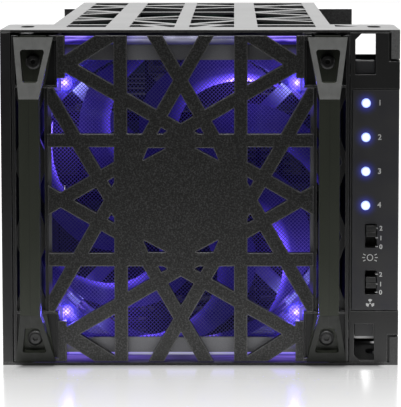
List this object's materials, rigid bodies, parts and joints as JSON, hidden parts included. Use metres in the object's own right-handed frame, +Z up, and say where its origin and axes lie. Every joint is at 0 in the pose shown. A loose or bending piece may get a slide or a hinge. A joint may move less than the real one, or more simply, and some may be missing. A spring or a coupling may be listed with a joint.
{
  "type": "hot swap drive cage",
  "caption": "Hot swap drive cage: pierced steel shell, pull-out fan module with a star grille and strap handles, drive trays behind it, light and fan switches at the side.",
  "frame": {"origin": "middle of the underside's bounding box, on the surface that the cage stands on", "axes": "+X to the right seen from the front, +Y from the front towards the backplane, +Z up"},
  "size_m": [0.149, 0.2586, 0.1265],
  "materials": {
    "powder_black_steel": "semi-gloss black powder coat",
    "textured_black_plastic": "fine textured black",
    "grille_powder_coat": "fine sandy black coat",
    "moulded_handle_plastic": "satin dark grey",
    "smooth_panel_plastic": "smooth satin dark grey",
    "clear_fan_plastic": "clear, lit blue from its corners",
    "filter_mesh": "fine woven wire",
    "filter_frame_grey": "matt grey",
    "circuit_board": "green solder mask",
    "black_screw_steel": "black zinc",
    "contact_brass": "plain",
    "light_lens": "lit clear lens",
    "lead_rubber": "satin black",
    "connector_plastic": "smooth black",
    "knob_plastic": "satin black",
    "motor_iron": "dull",
    "tray_steel": "black zinc plate"
  },
  "bodies": {
    "cage": {"top_cover": "powder_black_steel", "bottom_cover": "powder_black_steel", "left_side_wall": "powder_black_steel", "right_side_wall": "powder_black_steel", "left_stile": "textured_black_plastic", "right_surround": "textured_black_plastic", "control_panel": "smooth_panel_plastic", "control_board": "circuit_board", "control_board_screws": "black_screw_steel", "status_lights": "light_lens", "light_switch_body": "connector_plastic", "fan_switch_body": "connector_plastic", "cage_contacts": "connector_plastic", "left_runners": "tray_steel", "right_runners": "tray_steel", "backplane_board": "circuit_board", "drive_sockets": "connector_plastic", "data_connectors": "connector_plastic", "power_connectors": "connector_plastic", "backplane_plate": "powder_black_steel", "board_standoffs": "contact_brass", "board_screws": "black_screw_steel", "rear_cowl": "powder_black_steel", "left_bracket": "powder_black_steel", "right_bracket": "powder_black_steel", "control_lead": "lead_rubber", "lead_plug": "connector_plastic"},
    "fan_module": {"module_frame": "textured_black_plastic", "fan_grille": "grille_powder_coat", "left_handle": "moulded_handle_plastic", "right_handle": "moulded_handle_plastic", "handle_screws": "black_screw_steel", "filter_frame": "filter_frame_grey", "dust_mesh": "filter_mesh", "fan_housing": "clear_fan_plastic", "fan_bearing": "contact_brass", "fan_stator": "motor_iron", "fan_screws": "black_screw_steel", "corner_lights": "light_lens", "module_contacts": "circuit_board"},
    "fan_rotor": {"fan_rotor": "clear_fan_plastic", "rotor_shaft": "black_screw_steel", "rotor_magnet": "motor_iron"},
    "light_switch_knob": {"light_switch_knob": "knob_plastic"},
    "fan_switch_knob": {"fan_switch_knob": "knob_plastic"},
    "upper_latch": {"upper_latch": "smooth_panel_plastic"},
    "lower_latch": {"lower_latch": "smooth_panel_plastic"},
    "drive_tray_1": {"drive_tray_1": "tray_steel", "tray_face_1": "textured_black_plastic"},
    "drive_tray_2": {"drive_tray_2": "tray_steel", "tray_face_2": "textured_black_plastic"},
    "drive_tray_3": {"drive_tray_3": "tray_steel", "tray_face_3": "textured_black_plastic"},
    "drive_tray_4": {"drive_tray_4": "tray_steel", "tray_face_4": "textured_black_plastic"}
  },
  "joints": [
    {"name": "fan_module_slide", "type": "slide", "parent": "cage", "child": "fan_module", "axis": [0, -1, 0], "range_m": [0, 0.3]},
    {"name": "fan_spin", "type": "hinge", "parent": "fan_module", "child": "fan_rotor", "pos_m": [-0.0073, -0.08775, 0.06265], "axis": [0, 1, 0], "continuous": true},
    {"name": "light_switch_slide", "type": "slide", "parent": "cage", "child": "light_switch_knob", "axis": [0, 0, 1], "range_m": [-0.0038, 0]},
    {"name": "fan_switch_slide", "type": "slide", "parent": "cage", "child": "fan_switch_knob", "axis": [0, 0, 1], "range_m": [-0.0019, 0.0019]},
    {"name": "upper_latch_slide", "type": "slide", "parent": "cage", "child": "upper_latch", "axis": [0, 0, 1], "range_m": [0, 0.006]},
    {"name": "lower_latch_slide", "type": "slide", "parent": "cage", "child": "lower_latch", "axis": [0, 0, -1], "range_m": [0, 0.006]},
    {"name": "drive_tray_1_slide", "type": "slide", "parent": "cage", "child": "drive_tray_1", "axis": [0, -1, 0], "range_m": [0, 0.15]},
    {"name": "drive_tray_2_slide", "type": "slide", "parent": "cage", "child": "drive_tray_2", "axis": [0, -1, 0], "range_m": [0, 0.15]},
    {"name": "drive_tray_3_slide", "type": "slide", "parent": "cage", "child": "drive_tray_3", "axis": [0, -1, 0], "range_m": [0, 0.15]},
    {"name": "drive_tray_4_slide", "type": "slide", "parent": "cage", "child": "drive_tray_4", "axis": [0, -1, 0], "range_m": [0, 0.15]}
  ],
  "couplings": [
    {"joint": "drive_tray_1_slide", "follows": "fan_module_slide", "ratio": 0.5},
    {"joint": "drive_tray_2_slide", "follows": "fan_module_slide", "ratio": 0.5},
    {"joint": "drive_tray_3_slide", "follows": "fan_module_slide", "ratio": 0.5},
    {"joint": "drive_tray_4_slide", "follows": "fan_module_slide", "ratio": 0.5}
  ]
}
